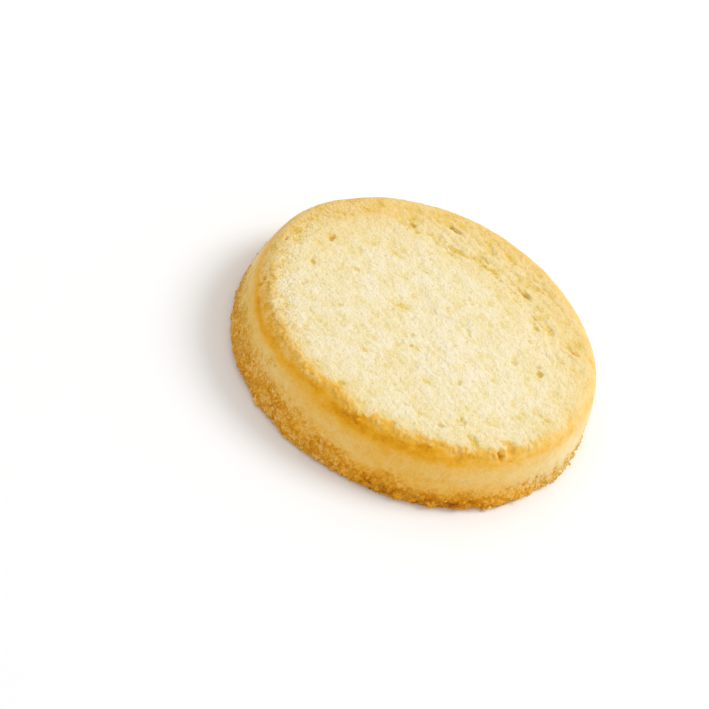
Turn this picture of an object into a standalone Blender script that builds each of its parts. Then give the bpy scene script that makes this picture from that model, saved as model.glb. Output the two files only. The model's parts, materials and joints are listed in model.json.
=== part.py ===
"""A thick round shortbread biscuit, pale on top and browned round its edges.

It is one solid of baked dough. From the base up it has a flat underside, a crumbly foot that flares out
a little all round, a side that leans in as it rises, a rounded shoulder and a softly domed, uneven top.
Lengths are in metres, the origin is the middle of the underside, and +Z is up.
"""

import math

import bmesh
import bpy
from mathutils import Vector, noise

MM = 0.001

# Driving dimensions
HEIGHT = 11.4 * MM  # from the underside to the shoulder's crest
FOOT_RADIUS = 29.85 * MM  # the crumbly foot, the widest part
FOOT_HEIGHT = 1.3 * MM  # where the foot is widest
FOOT_TOP = 3.4 * MM  # where the foot has run out into the side
BASE_RADIUS = 29.1 * MM  # the flat underside
SIDE_RADIUS = 29.4 * MM  # the side, just above the foot
SHOULDER_RADIUS = 28.2 * MM  # the side, just below the shoulder
SHOULDER_ROUND = 2.7 * MM  # the shoulder's radius, seen from the side
SIDE_BULGE = 0.25 * MM  # how far the side swells between foot and shoulder
DOME = 0.25 * MM  # how far the middle of the top stands above the shoulder

# How uneven the baking left it
OUT_OF_ROUND = (  # (lobes round the outline, how far they stand out, the azimuth of the first one)
    (2, 0.30 * MM, 0.3),
    (3, 0.10 * MM, 4.4),
    (5, 0.15 * MM, 0.25),
)
SIDE_WAVER = 0.22 * MM  # slow waves in the side
SIDE_WAVER_LENGTH = 9.0 * MM
FOOT_CRUMBLE = 0.42 * MM  # short breaks in the foot
FOOT_CRUMBLE_LENGTH = 3.6 * MM
FOOT_CRUMBLE_REACH = 4.5 * MM  # how far above the foot the breaks run
TOP_WAVER = 0.20 * MM  # slow hollows and swells in the top
TOP_WAVER_LENGTH = 10.0 * MM
NOISE_START = Vector((3.7, 1.2, 5.9))  # where in the noise the biscuit lies

# Facets
STEPS_ROUND = 176
TOP_RINGS = 7
SHOULDER_STEPS = 6
SIDE_STEPS = 4
FOOT_STEPS = 3

DOUGH_COLOUR = (0.84, 0.65, 0.31, 1.0)
DOUGH_ROUGHNESS = 0.92


def between(start, end, share):
    """The value that lies this share of the way from start to end."""
    return start + (end - start) * share


def top_profile():
    """The domed top, from its middle out to the shoulder."""
    edge = SHOULDER_RADIUS - SHOULDER_ROUND
    shares = [ring / TOP_RINGS for ring in range(TOP_RINGS)]
    return [(edge * share, HEIGHT + DOME * (1 - share**2)) for share in shares]


def shoulder_profile():
    """The rounded shoulder, from the top over to the side's own slope."""
    lean = math.atan2(SIDE_RADIUS - SHOULDER_RADIUS, HEIGHT - SHOULDER_ROUND - FOOT_TOP)
    points = []
    for step in range(SHOULDER_STEPS + 1):
        turn = between(math.pi / 2, lean, step / SHOULDER_STEPS)
        radius = SHOULDER_RADIUS + SHOULDER_ROUND * (math.cos(turn) - 1)
        points.append((radius, HEIGHT + SHOULDER_ROUND * (math.sin(turn) - 1)))
    return points


def side_profile(start):
    """The side, from the shoulder's last point down to the top of the foot, with a slight swell."""
    points = []
    for step in range(1, SIDE_STEPS + 1):
        share = step / SIDE_STEPS
        swell = SIDE_BULGE * math.sin(math.pi * share)
        radius = between(start[0], SIDE_RADIUS, share) + swell
        points.append((radius, between(start[1], FOOT_TOP, share)))
    return points


def foot_profile():
    """The foot: a soft flare out to its widest point, then round and in to the underside."""
    points = []
    for step in range(1, FOOT_STEPS + 1):
        share = step / FOOT_STEPS
        flare = (1 - math.cos(math.pi * share)) / 2
        points.append((between(SIDE_RADIUS, FOOT_RADIUS, flare), between(FOOT_TOP, FOOT_HEIGHT, share)))
    for step in range(1, FOOT_STEPS + 1):
        turn = math.pi / 2 * step / FOOT_STEPS
        radius = between(BASE_RADIUS, FOOT_RADIUS, math.cos(turn))
        points.append((radius, FOOT_HEIGHT * (1 - math.sin(turn))))
    return points


def biscuit_profile():
    """Half the biscuit's outline as (radius, height), from the middle of the top to that of the underside."""
    shoulder = shoulder_profile()
    underside = [(BASE_RADIUS / 2, 0.0), (0.0, 0.0)]
    return top_profile() + shoulder + side_profile(shoulder[-1]) + foot_profile() + underside


def turned(name, profile):
    """A mesh object made by turning the profile once round the Z axis."""
    mesh = bpy.data.meshes.new(name)
    edges = [(i, i + 1) for i in range(len(profile) - 1)]
    mesh.from_pydata([(radius, 0, height) for radius, height in profile], edges, [])
    blank = bpy.data.objects.new(name, mesh)
    bpy.context.scene.collection.objects.link(blank)
    screw = blank.modifiers.new("Turn", "SCREW")
    screw.steps = STEPS_ROUND
    screw.render_steps = STEPS_ROUND
    screw.use_merge_vertices = True
    screw.merge_threshold = 0.01 * MM
    bpy.context.view_layer.update()
    graph = bpy.context.evaluated_depsgraph_get()
    solid = bpy.data.meshes.new_from_object(blank.evaluated_get(graph))
    bpy.data.objects.remove(blank)
    bpy.data.meshes.remove(mesh)
    solid.name = name
    return bpy.data.objects.new(name, solid)


def waver(place, length, octaves=2):
    """Smooth noise between about -1 and 1 whose swells are this length apart."""
    return noise.fractal(place / length + NOISE_START, 1.0, 2.0, octaves)


def outline_shift(place, angle):
    """How far the outline stands out or in at a point of the side."""
    lobes = sum(size * math.cos(count * (angle - start)) for count, size, start in OUT_OF_ROUND)
    crumble = FOOT_CRUMBLE * waver(place, FOOT_CRUMBLE_LENGTH)
    fade = max(0.0, 1 - max(0.0, place.z - FOOT_HEIGHT) / FOOT_CRUMBLE_REACH) ** 2
    return lobes + SIDE_WAVER * waver(place, SIDE_WAVER_LENGTH) + crumble * fade


def bake_unevenly(mesh):
    """Moves each point of the turned shape to where the baking left it. The underside stays flat."""
    for vertex in mesh.vertices:
        place = vertex.co.copy()
        radius = math.hypot(place.x, place.y)
        angle = math.atan2(place.y, place.x)
        rim = Vector((math.cos(angle) * FOOT_RADIUS, math.sin(angle) * FOOT_RADIUS, place.z))
        spread = 1 + outline_shift(rim, angle) * (radius / FOOT_RADIUS) ** 4 / max(radius, MM)
        vertex.co.x *= spread
        vertex.co.y *= spread
        flat = Vector((place.x, place.y, 0))
        vertex.co.z += TOP_WAVER * waver(flat, TOP_WAVER_LENGTH) * (place.z / HEIGHT) ** 3


def stand_on_origin(mesh):
    """Shifts the mesh sideways so that the middle of its box is over the origin."""
    for axis in (0, 1):
        places = [vertex.co[axis] for vertex in mesh.vertices]
        middle = (min(places) + max(places)) / 2
        for vertex in mesh.vertices:
            vertex.co[axis] -= middle


def close_and_orient(mesh):
    """Merges the doubled points at the two poles and turns every face outwards."""
    work = bmesh.new()
    work.from_mesh(mesh)
    bmesh.ops.remove_doubles(work, verts=work.verts, dist=0.001 * MM)
    bmesh.ops.recalc_face_normals(work, faces=work.faces)
    work.to_mesh(mesh)
    work.free()


def baked_dough():
    """Dry, matte, golden dough."""
    material = bpy.data.materials.new("baked_dough")
    material.use_nodes = True
    surface = material.node_tree.nodes["Principled BSDF"]
    surface.inputs["Base Color"].default_value = DOUGH_COLOUR
    surface.inputs["Roughness"].default_value = DOUGH_ROUGHNESS
    surface.inputs["Metallic"].default_value = 0.0
    return material


def make_biscuit():
    """The whole biscuit, in its own collection."""
    biscuit = turned("biscuit", biscuit_profile())
    close_and_orient(biscuit.data)
    bake_unevenly(biscuit.data)
    stand_on_origin(biscuit.data)
    biscuit.data.shade_smooth()
    biscuit.data.materials.append(baked_dough())
    collection = bpy.data.collections.new("shortbread_biscuit")
    bpy.context.scene.collection.children.link(collection)
    collection.objects.link(biscuit)


for old in list(bpy.data.objects):
    bpy.data.objects.remove(old)
make_biscuit()
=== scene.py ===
"""Dresses the round shortbread biscuit: a pale, pitted top, a browned shoulder and a crumbly side.

The dough is one closed mesh. It starts as a copy of the CAD solid, takes on grains along its side and
foot, is remeshed finely and is then shaped point by point: the edge of the pale crust, the blistered
ring behind it, pits, dents and grain. Loose crumbs cling to it as a second mesh.
"""

import json
import math
import random

import bpy
import numpy as np
from mathutils import Matrix, Vector, noise

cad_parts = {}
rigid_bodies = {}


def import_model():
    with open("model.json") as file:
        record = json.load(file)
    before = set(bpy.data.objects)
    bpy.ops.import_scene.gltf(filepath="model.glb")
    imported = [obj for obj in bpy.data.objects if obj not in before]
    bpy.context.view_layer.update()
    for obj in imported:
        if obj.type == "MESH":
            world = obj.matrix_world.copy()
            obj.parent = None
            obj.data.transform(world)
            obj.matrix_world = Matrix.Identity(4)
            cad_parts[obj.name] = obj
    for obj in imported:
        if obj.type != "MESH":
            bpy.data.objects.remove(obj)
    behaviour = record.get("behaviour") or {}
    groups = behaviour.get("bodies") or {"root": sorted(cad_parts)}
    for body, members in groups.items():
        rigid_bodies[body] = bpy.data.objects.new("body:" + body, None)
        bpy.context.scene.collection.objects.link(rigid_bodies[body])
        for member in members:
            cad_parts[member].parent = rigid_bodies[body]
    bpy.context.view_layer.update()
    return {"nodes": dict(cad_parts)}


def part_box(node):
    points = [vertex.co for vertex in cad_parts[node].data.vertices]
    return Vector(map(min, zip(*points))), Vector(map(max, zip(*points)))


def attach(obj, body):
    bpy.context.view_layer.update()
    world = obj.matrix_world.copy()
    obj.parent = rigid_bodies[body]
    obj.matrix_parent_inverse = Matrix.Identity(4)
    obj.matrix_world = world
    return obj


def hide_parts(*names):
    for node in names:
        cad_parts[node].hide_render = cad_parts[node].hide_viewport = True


MM = 0.001

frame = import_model()

# Sizes from the frame
LOW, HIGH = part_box("biscuit")
RADIUS = (HIGH[0] - LOW[0]) / 2
HEIGHT = HIGH[2] - LOW[2]
CREST = 0.968 * HEIGHT  # where the top turns down over the shoulder
BAND_TOP = 0.79 * HEIGHT  # the smooth band of the side, below the browned shoulder
BAND_FOOT = 0.50 * HEIGHT
FOOT_TOP = 0.19 * HEIGHT

# How finely the dough is meshed
VOXEL = 0.16 * MM
DOUGH_TRIANGLES = 190000

# Where the pale crust ends, all round: an azimuth in degrees, then in mm the way out from the middle
# to the end of its layer, how soft that step is, the way out to the end of its colour and how softly
# that fades
CRUST_EDGE = (
    (0, 21.5, 4.5, 27.0, 3.0),
    (20, 19.6, 4.0, 27.0, 3.0),
    (45, 17.6, 3.4, 27.0, 3.0),
    (70, 16.3, 2.8, 27.0, 3.0),
    (95, 16.6, 2.8, 27.0, 3.0),
    (115, 18.3, 3.4, 27.0, 3.0),
    (140, 21.5, 3.8, 27.0, 3.0),
    (165, 24.2, 3.4, 26.8, 3.0),
    (190, 27.0, 2.8, 26.8, 3.2),
    (205, 27.9, 1.8, 27.2, 3.0),
    (225, 28.1, 1.5, 27.3, 2.2),
    (240, 28.0, 1.3, 27.1, 1.7),
    (246, 27.7, 1.2, 26.9, 1.7),
    (251, 26.9, 1.2, 25.9, 2.0),
    (257, 27.6, 1.2, 26.9, 1.4),
    (280, 27.8, 1.2, 27.1, 1.3),
    (300, 27.8, 1.3, 27.1, 1.5),
    (312, 27.4, 1.6, 26.9, 1.9),
    (328, 26.2, 2.4, 27.0, 3.0),
    (345, 24.4, 4.0, 27.0, 3.0),
)

# Relief in mm: the crust's thickness and, at the back, the blisters of the browner ring beyond it, the
# groove between the two and how far the crust stands above the ring
CRUST_THICKNESS = 0.16
BLISTER_HEIGHT = 0.24
GROOVE_DEPTH = 0.20
LEDGE_HEIGHT = 0.20

# Stretches of the way round, in degrees: the middle's azimuth, the half width and how softly it ends
BLISTERED = (66, 46, 25)
CRUMBLY_LIP = (262, 66, 20)
GRAINY_RIM = (182, 40, 22)
# Painted shade down one stretch of the side, and painted light down another
PAINTED_SHADE_STRIP = (204, 10, 14)
PAINTED_LIGHT_STRIP = (247, 12, 14)

# Lumps and tongues of the top lie along this azimuth
COMB = math.radians(-26)

# Hollows of the top:
# (x, y, half length, half width in mm, turn in degrees, depth in mm, how baked inside)
HOLLOWS = (
    (-20.0, 5.7, 0.85, 0.50, 100, 0.48, 0.54),
    (-26.3, 0.9, 0.52, 0.36, 90, 0.60, 0.55),
    (-20.9, -1.6, 0.95, 0.70, 120, 0.36, 0.36),
    (-19.0, -0.4, 0.25, 0.18, 0, 0.30, 0.50),
    (-20.5, -6.7, 0.90, 0.55, 80, 0.28, 0.36),
    (-2.8, 21.8, 1.30, 0.55, -32, 0.70, 0.44),
    (12.1, 14.9, 0.95, 0.45, -15, 0.65, 0.44),
    (-9.5, 18.1, 0.65, 0.45, 20, 0.40, 0.44),
    (-9.8, 19.7, 0.30, 0.22, 0, 0.25, 0.48),
    (-4.6, 11.5, 0.45, 0.30, 20, 0.18, 0.28),
    (-4.1, 8.1, 0.20, 0.14, 30, 0.30, 0.58),
    (1.2, 2.4, 0.25, 0.12, 20, 0.28, 0.58),
    (-2.0, -6.6, 0.55, 0.36, 30, 0.20, 0.30),
    (-1.5, -9.0, 0.40, 0.28, 60, 0.16, 0.32),
    (-7.0, -14.3, 0.70, 0.45, 40, 0.18, 0.28),
    (7.6, -12.0, 0.70, 0.35, 100, 0.18, 0.28),
    (9.9, -19.6, 1.10, 0.75, 60, 0.42, 0.34),
    (7.5, -21.9, 0.60, 0.50, 20, 0.30, 0.34),
    (18.6, -1.5, 0.85, 0.55, 100, 0.38, 0.42),
    (18.0, -0.2, 0.50, 0.40, 0, 0.25, 0.38),
    (14.0, -1.4, 1.50, 0.65, 100, 0.24, 0.30),
    (10.8, -5.6, 0.75, 0.55, 70, 0.20, 0.30),
    (17.6, -21.0, 0.65, 0.40, 10, 0.45, 0.84),
    (12.9, -21.6, 1.70, 0.80, -40, 0.26, 0.40),
    (18.6, -19.2, 1.80, 1.00, -45, 0.26, 0.50),
    (11.5, -24.9, 1.30, 0.90, -60, 0.24, 0.50),
    (5.6, -26.0, 1.30, 1.10, -70, 0.20, 0.56),
    (0.8, -26.2, 0.90, 0.70, -80, 0.20, 0.56),
    (-1.1, 16.9, 2.00, 0.90, -8, 0.18, 0.24),
    (5.2, 16.2, 1.80, 0.85, -15, 0.22, 0.26),
    (-8.4, 16.5, 0.90, 0.65, 30, 0.24, 0.40),
    (-8.4, -23.4, 1.10, 0.60, 106, 0.22, 0.40),
    (-4.6, -1.4, 1.20, 0.90, 40, 0.12, 0.22),
    (5.8, -0.4, 0.90, 0.60, 120, 0.14, 0.22),
    (4.6, -4.8, 0.60, 0.45, 40, 0.18, 0.26),
    (15.2, 8.2, 1.20, 0.60, -50, 0.24, 0.34),
    (22.8, 7.2, 1.20, 0.50, -20, 0.26, 0.46),
)

# A hollow baked less than this is olive inside, and one baked more is golden
GOLDEN_FROM = 0.45
# Small olive dimples at random all over the crust
DIMPLES = 45

# Dark or broken marks on the side:
# (azimuth in degrees, height, half width, half height in mm, depth in mm, how baked inside)
SIDE_MARKS = (
    (256, 3.8, 0.95, 1.35, 0.16, 0.88),
    (230.5, 7.8, 0.18, 0.20, 0.25, 0.97),
    (203, 3.6, 0.30, 1.10, 0.35, 0.90),
    (191.5, 10.1, 0.60, 0.50, 0.15, 0.78),
    (198.5, 10.4, 0.60, 0.35, 0.30, 0.82),
    (200.5, 9.9, 0.45, 0.40, 0.26, 0.82),
    (207, 9.5, 0.80, 0.45, 0.14, 0.80),
    (311, 10.3, 0.60, 0.28, 0.45, 0.80),
    (314.5, 10.5, 0.75, 0.50, 0.15, 0.66),
    (319, 1.7, 0.70, 0.55, 0.30, 0.86),
    (305, 2.1, 0.80, 0.45, 0.30, 0.90),
    (338, 3.6, 0.50, 0.90, 0.30, 0.74),
    (20, 4.0, 0.80, 0.60, 0.25, 0.80),
    (75, 2.6, 0.60, 0.90, 0.30, 0.86),
    (112, 5.0, 0.40, 0.50, 0.25, 0.80),
    (148, 3.2, 0.90, 0.70, 0.20, 0.88),
    (176, 6.0, 0.35, 0.45, 0.25, 0.80),
)

# How high the crumbly part of the side reaches: (azimuth in degrees, height in mm)
CRUMBLY_FROM = (
    (0, 4.6),
    (60, 6.0),
    (120, 5.2),
    (180, 5.0),
    (205, 5.4),
    (225, 6.2),
    (245, 6.0),
    (260, 4.6),
    (275, 4.0),
    (300, 3.4),
    (330, 3.8),
)

# How baked the side is, all round: an azimuth in degrees, then a value for each of these heights
# in mm
SIDE_HEIGHTS = (0.5, 2.0, 3.8, 5.2, 6.8, 8.2, 9.2, 10.1, 10.8)
SIDE_BAKED = (
    (0, 0.40, 0.38, 0.30, 0.23, 0.19, 0.24, 0.30, 0.36, 0.34),
    (60, 0.58, 0.54, 0.45, 0.36, 0.30, 0.37, 0.43, 0.42, 0.36),
    (120, 0.64, 0.60, 0.51, 0.40, 0.32, 0.41, 0.49, 0.44, 0.38),
    (170, 0.60, 0.54, 0.43, 0.32, 0.27, 0.41, 0.50, 0.44, 0.36),
    (190, 0.54, 0.40, 0.34, 0.24, 0.27, 0.42, 0.62, 0.38, 0.30),
    (200, 0.74, 0.64, 0.40, 0.30, 0.34, 0.46, 0.72, 0.46, 0.34),
    (210, 0.70, 0.62, 0.52, 0.42, 0.37, 0.43, 0.78, 0.55, 0.36),
    (220, 0.60, 0.64, 0.57, 0.47, 0.39, 0.43, 0.76, 0.66, 0.42),
    (230, 0.58, 0.61, 0.60, 0.49, 0.42, 0.46, 0.70, 0.70, 0.46),
    (240, 0.62, 0.65, 0.68, 0.55, 0.48, 0.52, 0.66, 0.80, 0.52),
    (250, 0.58, 0.66, 0.70, 0.61, 0.50, 0.56, 0.74, 0.80, 0.50),
    (260, 0.62, 0.70, 0.64, 0.52, 0.46, 0.55, 0.80, 0.85, 0.56),
    (270, 0.76, 0.80, 0.66, 0.52, 0.52, 0.62, 0.84, 0.78, 0.54),
    (280, 0.80, 0.83, 0.60, 0.53, 0.54, 0.62, 0.83, 0.82, 0.54),
    (290, 0.84, 0.82, 0.62, 0.53, 0.46, 0.57, 0.76, 0.73, 0.50),
    (300, 0.80, 0.86, 0.64, 0.50, 0.42, 0.49, 0.67, 0.63, 0.48),
    (310, 0.78, 0.84, 0.63, 0.52, 0.42, 0.44, 0.60, 0.56, 0.50),
    (320, 0.62, 0.56, 0.47, 0.40, 0.34, 0.41, 0.48, 0.49, 0.46),
    (330, 0.52, 0.44, 0.29, 0.28, 0.27, 0.33, 0.44, 0.48, 0.44),
    (340, 0.32, 0.27, 0.26, 0.22, 0.21, 0.28, 0.38, 0.44, 0.40),
    (350, 0.20, 0.20, 0.21, 0.18, 0.19, 0.26, 0.35, 0.42, 0.39),
)

# How baked the top is, all round: an azimuth in degrees, then a value for each of these ways out
# in mm
TOP_WAYS = (10.0, 14.0, 17.5, 20.5, 23.3, 25.5, 27.5)
TOP_BAKED = (
    (12, 0.05, 0.09, 0.14, 0.15, 0.24, 0.29, 0.32),
    (36, 0.05, 0.15, 0.17, 0.19, 0.26, 0.30, 0.34),
    (60, 0.06, 0.19, 0.19, 0.24, 0.27, 0.33, 0.36),
    (84, 0.06, 0.18, 0.19, 0.21, 0.30, 0.35, 0.38),
    (108, 0.06, 0.13, 0.17, 0.20, 0.32, 0.32, 0.36),
    (132, 0.06, 0.11, 0.17, 0.22, 0.35, 0.34, 0.38),
    (156, 0.06, 0.05, 0.09, 0.18, 0.25, 0.32, 0.36),
    (180, 0.05, 0.06, 0.11, 0.14, 0.12, 0.18, 0.30),
    (204, 0.05, 0.06, 0.06, 0.06, 0.05, 0.13, 0.28),
    (228, 0.04, 0.05, 0.06, 0.09, 0.10, 0.20, 0.40),
    (252, 0.05, 0.05, 0.06, 0.05, 0.13, 0.28, 0.48),
    (276, 0.03, 0.04, 0.11, 0.06, 0.04, 0.12, 0.40),
    (300, 0.04, 0.04, 0.05, 0.08, 0.11, 0.18, 0.38),
    (324, 0.05, 0.05, 0.04, 0.06, 0.08, 0.15, 0.28),
    (348, 0.05, 0.04, 0.08, 0.11, 0.14, 0.22, 0.30),
)

# Grains fused to the side, and browner crumbs that cling all round it: how many, and their least and
# greatest sizes
FUSED_GRAINS = 600
GRAIN_SIZES = (0.35 * MM, 1.0 * MM)
BROWN_CRUMBS = 60
CRUMB_SIZES = (0.3, 0.65)  # in mm

# Dough colours by how far it is baked
BROWNING = (
    (0.00, (0.850, 0.765, 0.560)),
    (0.12, (0.840, 0.715, 0.440)),
    (0.25, (0.815, 0.635, 0.300)),
    (0.38, (0.810, 0.568, 0.205)),
    (0.50, (0.825, 0.502, 0.120)),
    (0.62, (0.825, 0.450, 0.055)),
    (0.75, (0.810, 0.393, 0.016)),
    (0.87, (0.690, 0.290, 0.006)),
    (0.94, (0.480, 0.170, 0.008)),
    (1.00, (0.260, 0.075, 0.006)),
)

# Colours laid over it: olive and whitish patches of the crust, its pits, and the blush of the side;
# whitish and blush also paint highlights on grain tops
OLIVE = (0.79, 0.67, 0.29, 1)
WHITISH = (0.86, 0.80, 0.64, 1)
PIT = (0.72, 0.50, 0.09, 1)
BLUSH = (0.93, 0.58, 0.21, 1)

# Colours it is multiplied by: in sunk places, a painted warm shade; in golden patches of the side; in
# creases between grains, painted shade that is partly their own olive
SUNK_SHADE = (0.93, 0.86, 0.42, 1)
GOLD_OLIVE = (0.96, 0.87, 0.42, 1)
CREASE_SHADE = (0.86, 0.69, 0.26, 1)

# Camera: its polar angle from straight above, its roll, what it looks at and from how far
CAMERA_POLAR = math.radians(47.55)
CAMERA_ROLL = math.radians(26.5)
CAMERA_TARGET = Vector((-8.56 * MM, -10.17 * MM, 5.8 * MM))
CAMERA_DISTANCE = 300 * MM
CAMERA_LENS = 98.7

# Light: an even white studio and one soft round lamp, high up; lengths in metres
STUDIO_STRENGTH = 0.81
KEY_FROM = Vector((0.55, 0.33, 0.76))
KEY_DISTANCE = 0.7
KEY_WIDTH = 0.35
KEY_WATTS = 2.42

# Floor
FLOOR_WIDTH = 6
FLOOR_COLOUR = (0.9, 0.9, 0.9, 1)


def smooth(low, high, values):
    """0 up to low, 1 from high on, and a soft rise between them."""
    share = np.clip((values - low) / (high - low), 0, 1)
    return share * share * (3 - 2 * share)


def swells(places, length, octaves=1, start=0.0):
    """Noise from about -1 to 1 at each place, its swells this many mm apart, finer by octave."""
    shift = Vector((start, -0.7 * start, 0.4 * start))
    scale = 1 / (length * MM)
    if octaves == 1:
        return np.array([noise.noise(place * scale + shift) for place in places])
    return np.array([noise.fractal(place * scale + shift, 0.7, 2.0, octaves) for place in places])


def pebbles(places, size, start=0.0):
    """Rounded cells this many mm across: 1 in their middles and 0 in the creases between them."""
    shift = Vector((start, 0.3 * start, -start))
    scale = 1 / (size * MM)
    reach = [noise.voronoi(place * scale + shift)[0][:2] for place in places]
    nearest, second = np.array(reach).T
    return smooth(0.0, 0.55, second - nearest)


class Lie:
    """Where each of a mesh's points lies on the biscuit, in mm and degrees."""

    def __init__(self, piece):
        points = piece.data.vertices
        self.places = [point.co.copy() for point in points]
        self.co = np.array([tuple(place) for place in self.places])
        self.normals = np.array([tuple(point.normal) for point in points])
        self.height = self.co[:, 2] / MM
        self.radius = np.hypot(self.co[:, 0], self.co[:, 1]) / MM
        self.azimuth = np.degrees(np.arctan2(self.co[:, 1], self.co[:, 0])) % 360
        self.way = self.radius + 0.7 * np.maximum(0, CREST / MM - self.height)

    def arc(self, azimuth):
        """How far round, in mm, each point lies from this azimuth."""
        turn = (self.azimuth - azimuth + 180) % 360 - 180
        return np.radians(turn) * self.radius


def only(piece):
    """Makes this piece the one that is selected and active."""
    bpy.ops.object.select_all(action="DESELECT")
    piece.select_set(True)
    bpy.context.view_layer.objects.active = piece


def apply_modifier(piece, kind, **settings):
    """Adds a modifier with these settings and applies it."""
    only(piece)
    bpy.ops.object.modifier_add(type=kind)
    modifier = piece.modifiers[-1]
    for name, value in settings.items():
        setattr(modifier, name, value)
    bpy.ops.object.modifier_apply(modifier=modifier.name)


def copy_of_solid(solid, name):
    """A copy of a CAD solid's mesh, its loose triangles merged, as a piece of its own."""
    only(frame["nodes"][solid])
    bpy.ops.object.duplicate()
    piece = bpy.context.active_object
    piece.name = name
    piece.data.name = name
    bpy.ops.object.parent_clear(type="CLEAR_KEEP_TRANSFORM")
    bpy.ops.object.mode_set(mode="EDIT")
    bpy.ops.mesh.select_all(action="SELECT")
    bpy.ops.mesh.remove_doubles(threshold=0.01 * MM)
    bpy.ops.object.mode_set(mode="OBJECT")
    return piece


def crumb(name, radius, chance):
    """One uneven crumb of baked dough at the origin, a few dozen faces."""
    bpy.ops.object.select_all(action="DESELECT")
    bpy.ops.mesh.primitive_ico_sphere_add(subdivisions=2, radius=radius)
    piece = bpy.context.active_object
    piece.name = name
    shift = Vector([chance.uniform(-9, 9) for _ in range(3)])
    for point in piece.data.vertices:
        point.co *= 1 + 0.7 * noise.noise(point.co / radius + shift) + chance.uniform(-0.1, 0.1)
    stretch = Vector((chance.uniform(0.8, 1.3), chance.uniform(0.7, 1.1), chance.uniform(0.6, 0.9)))
    piece.data.transform(Matrix.Diagonal(stretch).to_4x4())
    return piece


def scattered(kinds, spots, chance, sink):
    """Copies of the crumbs at these spots (place, normal, size), turned at random and sunk in."""
    copies = []
    for place, normal, size in spots:
        piece = chance.choice(kinds).copy()
        piece.data = piece.data.copy()
        bpy.context.scene.collection.objects.link(piece)
        turn = Matrix.Rotation(chance.uniform(0, 2 * math.pi), 4, "Z")
        face = normal.to_track_quat("Z", "Y").to_matrix().to_4x4()
        spot = place + normal * size * (0.5 - sink)
        piece.data.transform(Matrix.Translation(spot) @ face @ turn @ Matrix.Scale(size, 4))
        copies.append(piece)
    return copies


def joined(pieces, name):
    """The pieces made one object."""
    bpy.ops.object.select_all(action="DESELECT")
    for piece in pieces:
        piece.select_set(True)
    bpy.context.view_layer.objects.active = pieces[0]
    bpy.ops.object.join()
    whole = bpy.context.active_object
    whole.name = name
    whole.data.name = name
    return whole


def side_spots(body, count, sizes, lowest, highest, chance):
    """Spots on the body's side as (place, normal, size), thicker on the ground towards the foot."""
    spots = []
    while len(spots) < count:
        azimuth = chance.uniform(0, 2 * math.pi)
        height = lowest + (highest - lowest) * chance.random() ** 1.7
        out = Vector((math.cos(azimuth), math.sin(azimuth), 0))
        start = out * 2 * RADIUS + Vector((0, 0, height))
        hit, place, normal, _ = body.ray_cast(start, -out)
        if hit:
            spots.append((place, normal, chance.uniform(*sizes)))
    return spots


def combed(places):
    """The places squeezed along the comb direction, so that noise taken there runs lengthways."""
    squeeze = Matrix.Diagonal((0.45, 1.0, 0.7, 1.0)) @ Matrix.Rotation(-COMB, 4, "Z")
    return [squeeze @ place for place in places]


def crumb_spot(body, azimuth, height, size):
    """The spot (place, normal, size) of a crumb on the body's side, at this azimuth in degrees."""
    turn = math.radians(azimuth)
    out = Vector((math.cos(turn), math.sin(turn), 0))
    _, place, normal, _ = body.ray_cast(out * 2 * RADIUS + Vector((0, 0, height)), -out)
    return place, normal, size


def crumbs(body, chance):
    """Browned crumbs that cling to the side."""
    kinds = [crumb(f"crumb_{i}", 0.5, chance) for i in range(7)]
    spots = []
    for _ in range(BROWN_CRUMBS):
        height = (0.04 + 0.36 * chance.random() ** 1.6) * HEIGHT
        azimuth = chance.uniform(0, 360)
        spots.append(crumb_spot(body, azimuth, height, chance.uniform(*CRUMB_SIZES) * MM))
    pieces = scattered(kinds, spots, chance, 0.5)
    for piece in pieces:
        values = {
            "baked": chance.uniform(0.4, 0.75),
            "field": 0,
            "crust": 0,
            "golden": 0,
            "hollow": 0.4,
            "rough": 0.8,
        }
        for name, value in values.items():
            mark(piece, name, [value] * len(piece.data.vertices))
    for kind in kinds:
        bpy.data.objects.remove(kind)
    return joined(pieces, "clinging_crumbs")


def crust_reach(lie, long_places):
    """(reach, soft, covered) of the crust's ragged end, at each place.

    They are how far inside its layer the place lies in mm, how soft the layer's step is, and how far
    inside its colour the place lies, as a share of the fade.
    """
    azimuths, *columns = np.array(CRUST_EDGE).T
    columns = [np.interp(lie.azimuth, azimuths, column, period=360) for column in columns]
    way, soft, colour_way, fade = columns
    tongues = 0.9 * swells(long_places, 2.3, 3, 3.1) + 0.7 * swells(lie.places, 4.6, 1, 7.7)
    crumbled = 0.9 * (pebbles(lie.places, 1.0, 4.4) - 0.55) + 0.4 * swells(lie.places, 0.6, 1, 1.9)
    ragged = tongues * np.maximum(0.9, 0.5 * soft) + crumbled
    reach = way + ragged - lie.way
    return reach, soft, (colour_way + tongues + crumbled - lie.way) / fade


def hollow_at(across, along, half_across, half_along, depth, uneven):
    """(relief, inside) of one hollow: its relief in mm, which is below 0, and 1 inside it."""
    reach = np.hypot(across / half_across, along / half_along) + 0.5 * uneven
    inside = 1 - smooth(0.45, 1.15, reach)
    return -depth * inside, 1 - smooth(0.45, 1.35, reach)


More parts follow.
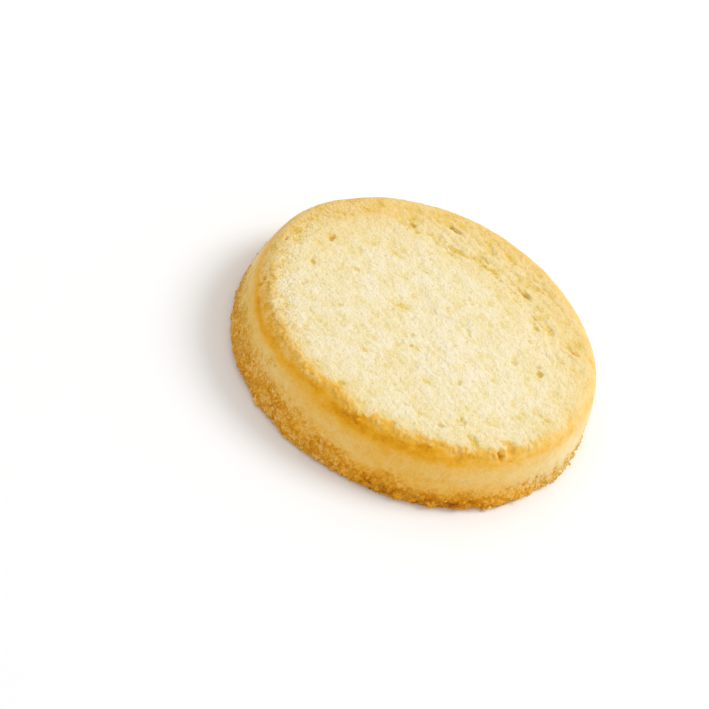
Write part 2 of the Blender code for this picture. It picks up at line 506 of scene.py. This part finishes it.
def marked(lie, uneven, chance):
    """(relief, golden, olive) of the hollows and dimples of the top and the marks of the side."""
    relief = np.zeros(len(lie.places))
    golden = np.zeros(len(lie.places))
    olive = np.zeros(len(lie.places))
    upper = lie.height > BAND_TOP / MM
    hollows = list(HOLLOWS)
    for _ in range(DIMPLES):
        way, turn = 25 * math.sqrt(chance.random()), chance.uniform(0, 2 * math.pi)
        size = chance.triangular(0.15, 0.7, 0.25)
        x, y = way * math.cos(turn), way * math.sin(turn)
        half_width = chance.uniform(0.5, 0.9) * size
        hollows.append((x, y, size, half_width, chance.uniform(0, 180), 0.18 * size, 0.2))
    for x, y, half_length, half_width, turn, depth, brown in hollows:
        cos, sin = math.cos(math.radians(turn)), math.sin(math.radians(turn))
        dx, dy = lie.co[:, 0] / MM - x, lie.co[:, 1] / MM - y
        change, inside = hollow_at(
            dx * cos + dy * sin, dy * cos - dx * sin, half_length, half_width, depth, uneven
        )
        relief += np.where(upper, change, 0)
        if brown < GOLDEN_FROM:
            olive = np.maximum(olive, np.where(upper, inside * min(1, 2.3 * brown), 0))
        else:
            golden = np.maximum(golden, np.where(upper, inside * brown, 0))
    for azimuth, height, half_width, half_height, depth, brown in SIDE_MARKS:
        change, inside = hollow_at(
            lie.arc(azimuth), lie.height - height, half_width, half_height, depth, uneven
        )
        outer = lie.radius > 0.8 * RADIUS / MM
        relief += np.where(outer, change, 0)
        golden = np.maximum(golden, np.where(outer, inside * brown, 0))
    return relief, golden, olive


def lobe(lie, azimuth, half_width, soft):
    """1 within half_width degrees of this azimuth, fading to 0 over soft degrees more."""
    turn = np.abs((lie.azimuth - azimuth + 180) % 360 - 180)
    return 1 - smooth(half_width, half_width + soft, turn)


def level_from(table, stops, around, along):
    """The table's value at each place: its rows go round by azimuth, its columns along the stops."""
    azimuths, *columns = np.array(table).T
    level = np.interp(around, azimuths, columns[0], period=360)
    for low, high, column in zip(stops, stops[1:], columns[1:]):
        level += (np.interp(around, azimuths, column, period=360) - level) * smooth(low, high, along)
    return level


def baked_level(lie, rough, foot, underside, slow, coarse):
    """How far each place of the side and foot is baked, from 0, cream, to 1, dark brown."""
    height = lie.height + 0.45 * slow + 0.3 * coarse
    level = level_from(SIDE_BAKED, SIDE_HEIGHTS, lie.azimuth + 4 * slow, height)
    level += 0.03 * coarse + (0.02 * slow + 0.05 * coarse) * rough + 0.06 * coarse * foot
    return level + (0.62 + 0.08 * slow + 0.08 * coarse - level) * underside


def shape_dough(body, chance):
    """Moves the finely meshed dough's points to their relief and marks what each place looks like."""
    lie = Lie(body)
    places = lie.places
    long_places = combed(places)
    upper = lie.height > BAND_TOP / MM
    on_top = (1 - smooth(25.5, 29.0, lie.way)) * upper
    underside = smooth(-0.6, -0.9, lie.normals[:, 2]) * (lie.height < 1)
    slow = swells(places, 3.2, 1, 5.5)
    coarse = swells(places, 1.9, 2, 0.7)
    uneven = swells(places, 0.8, 1, 4.1)
    fine = pebbles(places, 0.8, 2.2) - 0.6
    azimuths, heights = np.array(CRUMBLY_FROM).T
    crumbly_from = np.interp(lie.azimuth, azimuths, heights)
    rough = smooth(1.9, -1.9, lie.height - crumbly_from + 1.4 * slow + 0.9 * coarse)
    rim = lobe(lie, *GRAINY_RIM) * smooth(21.5, 25.0, lie.way) * smooth(9.0, 9.8, lie.height)
    rough = np.maximum(rough * (0.85 + 0.4 * slow), 0.06)
    grainy = np.maximum(rough, 0.3 * rim) * (1 - underside)
    rough *= 1 - underside
    foot = smooth(1.2, -0.8, lie.height - FOOT_TOP / MM + 0.5 * slow) * (1 - underside)
    dents, golden, olive = marked(lie, uneven, chance)

    # The pale crust: a thin layer with a crumbly lip
    reach, soft, covered = crust_reach(lie, long_places)
    step = smooth(-0.5, 0.5, reach / soft) * upper
    pale = smooth(-0.5, 0.5, covered) * upper
    lip = np.exp(-(((reach - 0.45) / 0.5) ** 2)) * lobe(lie, *CRUMBLY_LIP) * upper
    below_lip = np.exp(-(((reach + 0.3) / 0.6) ** 2)) * lobe(lie, *CRUMBLY_LIP) * upper
    lumps = 0.8 * swells(places, 2.3, 3, 11.2) + 0.5 * swells(long_places, 0.9, 2, 15.8)

    # Blisters in the browner ring behind the pale field, and the groove that parts them
    warped = [place + Vector((a, b, 0)) * 0.5 * MM for place, a, b in zip(places, coarse, slow)]
    behind = lobe(lie, *BLISTERED)
    ring = behind * smooth(16.0, 18.5, lie.way) * (1 - smooth(24.0, 26.5, lie.way)) * (1 - step)
    blisters = pebbles(combed(warped), 2.0, 6.3) - 0.6 + 0.5 * coarse
    groove = np.exp(-(((reach + 1.1) / 1.1) ** 2)) * behind * upper * (0.6 + 0.8 * slow)
    ledge = LEDGE_HEIGHT * behind * smooth(-1.1, 0.9, reach) * upper

    # All the relief together, in mm
    broken = pebbles(warped, 1.7, 9.3) - 0.6
    relief = CRUST_THICKNESS * step + lip * (0.06 + 0.18 * uneven)
    relief += on_top * (0.16 * lumps + 0.05 * fine) + ledge
    relief += BLISTER_HEIGHT * ring * blisters - GROOVE_DEPTH * groove + dents
    relief += rough * (0.25 * fine + 0.16 * coarse) + 0.12 * (grainy - rough) * fine
    relief += foot * (0.16 * swells(places, 1.5, 2, 9.3) + 0.26 * broken)
    relief -= underside * 0.04 * (1 + coarse)
    moved = lie.co + lie.normals * relief[:, None] * MM
    moved[:, 2] = np.maximum(moved[:, 2], 0)
    body.data.vertices.foreach_set("co", moved.astype(np.float32).ravel())
    body.data.update()

    # What each place looks like
    # Painted shade down one stretch of the side and painted light down another, laid in as lower or
    # higher places
    painted_side_light_and_shade = 0.30 * lobe(lie, *PAINTED_SHADE_STRIP) - 0.12 * lobe(lie, *PAINTED_LIGHT_STRIP)
    # Low places, the groove and the place under the crust's lip take painted warm shade in the
    # material
    low_on_top = 0.5 - 0.6 * lumps + 0.45 * groove + 0.5 * below_lip - 0.4 * ring * blisters
    low_on_side = 0.5 - 0.5 * rough * fine - 0.35 * coarse - 0.7 * foot * broken + painted_side_light_and_shade
    low = np.where(upper, low_on_top, low_on_side)
    mark(body, "baked", baked_level(lie, rough, foot, underside, slow, coarse))
    around = lie.azimuth + 5 * slow
    way = lie.way + 0.9 * coarse + 1.0 * slow + 0.5 * swells(long_places, 1.2, 2, 12.1)
    mark(body, "field", level_from(TOP_BAKED, TOP_WAYS, around, way))
    mark(body, "crust", pale)
    mark(body, "golden", golden)
    # The hollow mark: how low each place lies with the painted light and shade of the side, and the
    # olive of the hollows
    mark(body, "hollow", np.clip(low, 0, 1) + 0.6 * olive)
    mark(body, "rough", grainy)


def mark(piece, name, values):
    """Keeps one value for each point of the piece, for its material to read."""
    kept = piece.data.attributes.new(name, "FLOAT", "POINT")
    kept.data.foreach_set("value", np.asarray(values, dtype=np.float32))


def dough(chance):
    """The whole biscuit's dough as one closed mesh."""
    body = copy_of_solid("biscuit", "shortbread")
    apply_modifier(body, "SUBSURF", levels=1, render_levels=1)
    kinds = [crumb(f"grain_{i}", 0.5, chance) for i in range(5)]
    spots = side_spots(body, FUSED_GRAINS, GRAIN_SIZES, 0.3 * MM, BAND_FOOT, chance)
    grains = scattered(kinds, spots, chance, 0.72)
    for kind in kinds:
        bpy.data.objects.remove(kind)
    body = joined([body, *grains], "shortbread")
    apply_modifier(body, "REMESH", mode="VOXEL", voxel_size=VOXEL)
    apply_modifier(body, "SMOOTH", factor=0.5, iterations=4)
    shape_dough(body, chance)
    triangles = 2 * len(body.data.polygons)
    if triangles > DOUGH_TRIANGLES:
        apply_modifier(body, "DECIMATE", ratio=DOUGH_TRIANGLES / triangles)
    only(body)
    bpy.ops.object.shade_smooth()
    return body


def node(tree, kind, inputs=None, **settings):
    """Adds a shader node. Inputs go by name or number, and are values or other nodes' outputs."""
    made = tree.nodes.new("ShaderNode" + kind)
    for name, value in settings.items():
        setattr(made, name, value)
    for name, value in (inputs or {}).items():
        if isinstance(value, bpy.types.NodeSocket):
            tree.links.new(value, made.inputs[name])
        else:
            made.inputs[name].default_value = value
    return made


def maths(tree, kind, a, b, clamp=False):
    """The output of a Math node on two values, kept from 0 to 1 where clamp is set."""
    return node(tree, "Math", {0: a, 1: b}, operation=kind, use_clamp=clamp).outputs[0]


def times(tree, a, b, clamp=False):
    """The product of two values."""
    return maths(tree, "MULTIPLY", a, b, clamp)


def ranged(tree, value, start, end, **settings):
    """From 0 to 1 as the value goes from start to end, and no further beyond them."""
    inputs = {"Value": value, "From Min": start, "From Max": end}
    return node(tree, "MapRange", inputs, **settings).outputs[0]


def total(tree, start, *parts):
    """The start value plus each part times its weight."""
    found = None
    for value, weight in parts:
        step = node(tree, "Math", {0: value, 1: weight, 2: start}, operation="MULTIPLY_ADD")
        if found is not None:
            tree.links.new(found, step.inputs[2])
        found = step.outputs[0]
    return found


def new_material(name):
    """An empty material and its node tree."""
    material = bpy.data.materials.new(name)
    material.use_nodes = True
    material.node_tree.nodes.clear()
    return material, material.node_tree


def add_sockets(group, inputs, outputs):
    """Gives a node group its named sockets: (name, kind, value) in and (name, kind) out."""
    for name, kind, value in inputs:
        socket = group.interface.new_socket(name, in_out="INPUT", socket_type="NodeSocket" + kind)
        if value is not None:
            socket.default_value = value
    for name, kind in outputs:
        group.interface.new_socket(name, in_out="OUTPUT", socket_type="NodeSocket" + kind)


def browning_group():
    """The colour of shortbread dough by how far it is baked, from cream to dark brown."""
    group = bpy.data.node_groups.new("browning", "ShaderNodeTree")
    add_sockets(group, [("Level", "Float", 0.0)], [("Colour", "Color")])
    start = group.nodes.new("NodeGroupInput")
    end = group.nodes.new("NodeGroupOutput")
    ramp = node(group, "ValToRGB", {"Fac": start.outputs["Level"]})
    stops = ramp.color_ramp.elements
    while len(stops) > 1:
        stops.remove(stops[-1])
    for i, (level, colour) in enumerate(BROWNING):
        stop = stops[0] if i == 0 else stops.new(level)
        stop.position = level
        stop.color = (*colour, 1)
    group.links.new(ramp.outputs["Color"], end.inputs["Colour"])
    return group


def grain_group():
    """Dough grain of one size in mm: its height, each grain's own tone, and a mottle about zero."""
    group = bpy.data.node_groups.new("dough_grain", "ShaderNodeTree")
    add_sockets(
        group,
        [("Place", "Vector", None), ("Size", "Float", 0.4)],
        [("Height", "Float"), ("Tone", "Float"), ("Mottle", "Float")],
    )
    start = group.nodes.new("NodeGroupInput")
    end = group.nodes.new("NodeGroupOutput")
    place = start.outputs["Place"]
    scale = maths(group, "DIVIDE", 1 / MM, start.outputs["Size"])
    slower = times(group, scale, 0.6)
    cloudy = {"Vector": place, "Scale": slower, "Detail": 3.0, "Roughness": 0.6}
    clouds = node(group, "TexNoise", cloudy).outputs
    mottle = maths(group, "SUBTRACT", clouds["Fac"], 0.5)

    # The grains are cells, bent out of shape by the mottle's noise
    drift = times(group, start.outputs["Size"], 1.2 * MM)
    centred = {0: clouds["Color"], 1: (0.5, 0.5, 0.5)}
    shift = node(group, "VectorMath", centred, operation="SUBTRACT").outputs[0]
    shift = node(group, "VectorMath", {0: shift, "Scale": drift}, operation="SCALE").outputs[0]
    bent = node(group, "VectorMath", {0: place, 1: shift}, operation="ADD").outputs[0]
    cells = node(group, "TexVoronoi", {"Vector": bent, "Scale": scale, "Randomness": 1.0})
    own = node(group, "SeparateColor", {"Color": cells.outputs["Color"]}).outputs[0]
    crease = ranged(group, cells.outputs["Distance"], 0.25, 0.75)
    height = maths(group, "SUBTRACT", mottle, times(group, crease, 0.28))
    group.links.new(height, end.inputs["Height"])
    group.links.new(maths(group, "SUBTRACT", own, 0.5), end.inputs["Tone"])
    group.links.new(mottle, end.inputs["Mottle"])
    return group


def mix(tree, factor, a, b, blend="MIX"):
    """The output of a colour Mix node, whose colours are its inputs 6 and 7 and its output 2."""
    inputs = {"Factor": factor, 6: a, 7: b}
    return node(tree, "Mix", inputs, data_type="RGBA", blend_type=blend).outputs[2]


def blended(tree, factor, a, b):
    """The output of a value Mix node, whose values are its inputs 2 and 3."""
    return node(tree, "Mix", {"Factor": factor, 2: a, 3: b}, data_type="FLOAT").outputs[0]


def dough_material(browning, grain):
    """Baked dough: a cream crust, golden towards the rim, browned at its end and a grainy side, with
    painted shade in its low places and creases.
    """
    material, tree = new_material("baked_dough")
    place = node(tree, "TexCoord").outputs["Object"]
    baked, field, crust, golden, hollow, rough = [
        node(tree, "Attribute", attribute_name=name).outputs["Fac"]
        for name in ("baked", "field", "crust", "golden", "hollow", "rough")
    ]
    turned = node(tree, "VectorRotate", {"Vector": place, "Angle": -COMB}, rotation_type="Z_AXIS")
    squeeze = {0: turned.outputs[0], 1: (0.3, 1.0, 0.8)}
    combed_place = node(tree, "VectorMath", squeeze, operation="MULTIPLY").outputs[0]
    sand, crumb_grain, broad, patch, cloud, streak = [
        node(tree, "Group", {"Place": at, "Size": size}, node_tree=grain).outputs
        for at, size in (
            (place, 0.30),
            (place, 0.50),
            (place, 0.90),
            (place, 1.90),
            (place, 3.60),
            (combed_place, 0.55),
        )
    ]

    # The crust's edge breaks up grain by grain
    torn = total(
        tree,
        0.0,
        (crust, 1.0),
        (crumb_grain["Tone"], 0.15),
        (crumb_grain["Mottle"], 0.6),
        (broad["Mottle"], 0.7),
    )
    cover = ranged(tree, torn, 0.05, 0.95, interpolation_type="SMOOTHSTEP")

    # Level of browning, on the crust and beyond it
    # How low each place lies; low places are browned and tinted more below, as painted warm shade
    low = maths(tree, "SUBTRACT", hollow, 0.5)
    pale = total(
        tree,
        0.01,
        (field, 1.0),
        (broad["Mottle"], 0.08),
        (patch["Mottle"], 0.18),
        (streak["Mottle"], 0.10),
    )
    deep = total(
        tree,
        0.0,
        (baked, 1.0),
        (patch["Mottle"], 0.15),
        (broad["Mottle"], 0.18),
        (sand["Mottle"], 0.22),
        (low, 0.14),
    )
    level = maths(tree, "MAXIMUM", golden, blended(tree, cover, deep, pale))
    colour = node(tree, "Group", {"Level": level}, node_tree=browning).outputs["Colour"]

    # Where it is pale, the crust is olive in patches and whitish in others
    fair = times(tree, ranged(tree, level, 0.34, 0.12), cover)
    olive = total(
        tree,
        0.14,
        (patch["Mottle"], 1.5),
        (broad["Mottle"], 0.5),
        (streak["Mottle"], 0.9),
        (crumb_grain["Mottle"], 0.2),
        (low, 0.3),
    )
    colour = mix(tree, times(tree, olive, fair, clamp=True), colour, OLIVE)
    whitish = total(tree, 0.0, (cloud["Mottle"], 3.0), (sand["Tone"], 0.25), (streak["Mottle"], 1.0))
    whitish = times(tree, whitish, 0.5, clamp=True)
    colour = mix(tree, times(tree, whitish, fair), colour, WHITISH)

    # Low places get a painted warm shade; pits get their golden colour, which the lowest places take
    # too as painted shade
    sunk = times(tree, ranged(tree, hollow, 0.55, 1.2), blended(tree, fair, 0.7, 0.45))
    colour = mix(tree, sunk, colour, SUNK_SHADE, "MULTIPLY")
    pit = times(tree, ranged(tree, hollow, 0.85, 1.1), 0.65)
    colour = mix(tree, pit, colour, PIT)

    # The crumbly side is gold olive in patches and blushes between them
    mild = ranged(tree, baked, 0.82, 0.60)
    side = times(tree, maths(tree, "SUBTRACT", rough, cover, clamp=True), mild)
    patches = total(
        tree, 0.42, (patch["Mottle"], 3.0), (broad["Mottle"], 2.2), (crumb_grain["Mottle"], 0.5)
    )
    patchy = maths(tree, "ADD", patches, 0.0, clamp=True)
    unpatched = maths(tree, "SUBTRACT", 1.0, patchy)
    blush = times(tree, unpatched, times(tree, side, 0.55))
    colour = mix(tree, blush, colour, BLUSH)
    browner = ranged(tree, baked, 0.30, 0.50)
    gilded = times(tree, patchy, times(tree, side, browner))
    colour = mix(tree, gilded, colour, GOLD_OLIVE, "MULTIPLY")

    # Grains: painted highlight on their tops and painted shade in the creases between them, partly
    # their own pink and olive, most where the dough is crumbly
    grains = total(
        tree,
        0.36,
        (crumb_grain["Height"], 2.0),
        (sand["Height"], 1.3),
        (broad["Mottle"], -0.4),
        (low, -0.5),
    )
    grains = times(tree, grains, total(tree, 0.18, (rough, 1.10)))
    lit = blended(tree, fair, total(tree, 0.14, (mild, 0.56)), 0.6)
    # top: painted highlight on the grains' tops; crease: painted shade between them
    top = times(tree, ranged(tree, grains, 0.0, 0.5), lit)
    crease = ranged(tree, grains, 0.0, -0.5)
    colour = mix(tree, top, colour, mix(tree, fair, BLUSH, WHITISH))
    colour = mix(tree, crease, colour, CREASE_SHADE, "MULTIPLY")

    # Fine relief, stronger on the crust and strongest where the dough is crumbly
    height = total(
        tree,
        0.0,
        (sand["Height"], 0.09 * MM),
        (crumb_grain["Height"], 0.12 * MM),
        (broad["Height"], 0.12 * MM),
    )
    height = times(tree, height, total(tree, 0.3, (cover, 0.8), (rough, 1.9)))
    bump = node(tree, "Bump", {"Height": height, "Strength": 1.0, "Distance": 1.0})
    surface = node(
        tree,
        "BsdfPrincipled",
        {
            "Base Color": colour,
            "Roughness": blended(tree, cover, 0.62, 0.86),
            "Specular IOR Level": 0.12,
            "Specular Tint": (1.0, 0.80, 0.45, 1),
            "Normal": bump.outputs["Normal"],
        },
    )
    node(tree, "OutputMaterial", {"Surface": surface.outputs[0]})
    return material


def add_camera():
    """The camera, set by the values above."""
    data = bpy.data.cameras.new("camera")
    data.lens = CAMERA_LENS
    data.sensor_width = 36
    data.clip_start = 0.01
    camera = bpy.data.objects.new("camera", data)
    bpy.context.scene.collection.objects.link(camera)
    turn = Matrix.Rotation(CAMERA_POLAR, 4, "X") @ Matrix.Rotation(CAMERA_ROLL, 4, "Z")
    back = turn.to_3x3() @ Vector((0, 0, CAMERA_DISTANCE))
    camera.matrix_world = Matrix.Translation(CAMERA_TARGET + back) @ turn
    bpy.context.scene.camera = camera


def add_light():
    """The studio and its one lamp."""
    world = bpy.data.worlds.new("studio")
    bpy.context.scene.world = world
    world.use_nodes = True
    studio = world.node_tree.nodes["Background"].inputs
    studio["Color"].default_value = (1, 1, 1, 1)
    studio["Strength"].default_value = STUDIO_STRENGTH
    light = bpy.data.lights.new("key", "AREA")
    light.shape = "DISK"
    light.size = KEY_WIDTH
    light.energy = KEY_WATTS
    lamp = bpy.data.objects.new("key", light)
    bpy.context.scene.collection.objects.link(lamp)
    lamp.location = KEY_FROM.normalized() * KEY_DISTANCE
    lamp.rotation_euler = KEY_FROM.to_track_quat("Z", "Y").to_euler()


def add_floor():
    """The white floor, which is no part of the object."""
    bpy.ops.object.select_all(action="DESELECT")
    bpy.ops.mesh.primitive_plane_add(size=FLOOR_WIDTH)
    floor = bpy.context.active_object
    floor.name = "floor"
    material, tree = new_material("floor")
    surface = node(tree, "BsdfDiffuse", {"Color": FLOOR_COLOUR})
    node(tree, "OutputMaterial", {"Surface": surface.outputs[0]})
    floor.data.materials.append(material)


chance = random.Random(7)
body = dough(chance)
loose = crumbs(body, chance)
dough_look = dough_material(browning_group(), grain_group())
for piece in (body, loose):
    piece.data.materials.clear()
    piece.data.materials.append(dough_look)
    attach(piece, "root")
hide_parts("biscuit")
add_floor()
add_camera()
add_light()
bpy.context.scene.view_settings.view_transform = "Standard"
